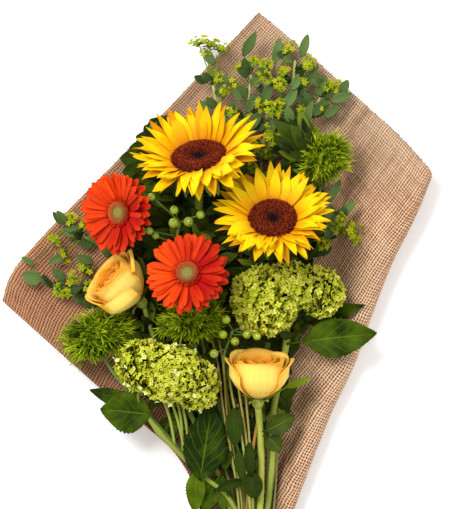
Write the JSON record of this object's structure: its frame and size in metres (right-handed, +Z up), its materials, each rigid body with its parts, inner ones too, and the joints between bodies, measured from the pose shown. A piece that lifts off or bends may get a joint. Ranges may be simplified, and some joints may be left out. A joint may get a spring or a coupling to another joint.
{
  "type": "mixed flower bouquet",
  "caption": "Bouquet lying in a burlap wrap: sunflowers, gerberas, roses, hydrangeas, fuzzy green heads, berries and leafy sprays, gathered at the stems by a jute tie.",
  "frame": {"origin": "on the wrap's flat underside, below the middle of the flower heads, at the surface that the bouquet lies on", "axes": "+Z up, away from the surface; +Y along the bouquet from the stem ends to the wrap's top corner; +X to the right as seen from above with the heads at the top"},
  "size_m": [0.4265, 0.6056, 0.1439],
  "materials": {
    "jute": "coarse open jute weave",
    "twine": "twisted jute twine",
    "yellow_petal": "satin petal with fine veins",
    "seed_brown": "dark dense florets",
    "orange_petal": "satin petal with fine veins",
    "gerbera_eye": "dense small florets",
    "rose_petal": "soft satin petal",
    "floret_green": "soft small petals",
    "fuzzy_green": "fine needle-like bracts",
    "berry_green": "glossy skin",
    "spray_green": "matt leaf",
    "stem_green": "satin stem",
    "dark_leaf": "waxy leaf"
  },
  "bodies": {
    "root": {"bupleurum_1": "spray_green", "bupleurum_2": "spray_green", "bupleurum_3": "spray_green", "bupleurum_4": "spray_green", "bupleurum_5": "spray_green", "bupleurum_6": "spray_green", "bupleurum_7": "spray_green", "bupleurum_8": "spray_green", "burlap_wrap": "jute", "gerbera_1_eye": "gerbera_eye", "gerbera_1_petals": "orange_petal", "gerbera_1_stem": "stem_green", "gerbera_2_eye": "gerbera_eye", "gerbera_2_petals": "orange_petal", "gerbera_2_stem": "stem_green", "green_trick_1": "fuzzy_green", "green_trick_2": "fuzzy_green", "green_trick_3": "fuzzy_green", "hydrangea_1_head": "floret_green", "hydrangea_1_stem": "dark_leaf", "hydrangea_2_head": "floret_green", "hydrangea_2_stem": "dark_leaf", "hypericum_1": "berry_green", "hypericum_2": "berry_green", "jute_tie": "twine", "leafy_stem": "dark_leaf", "rose_1_petals": "rose_petal", "rose_1_stem": "stem_green", "rose_2_petals": "rose_petal", "rose_2_stem": "stem_green", "sunflower_1_disc": "seed_brown", "sunflower_1_petals": "yellow_petal", "sunflower_1_stem": "stem_green", "sunflower_2_disc": "seed_brown", "sunflower_2_petals": "yellow_petal", "sunflower_2_stem": "stem_green", "upper_leaves": "dark_leaf"}
  },
  "joints": []
}
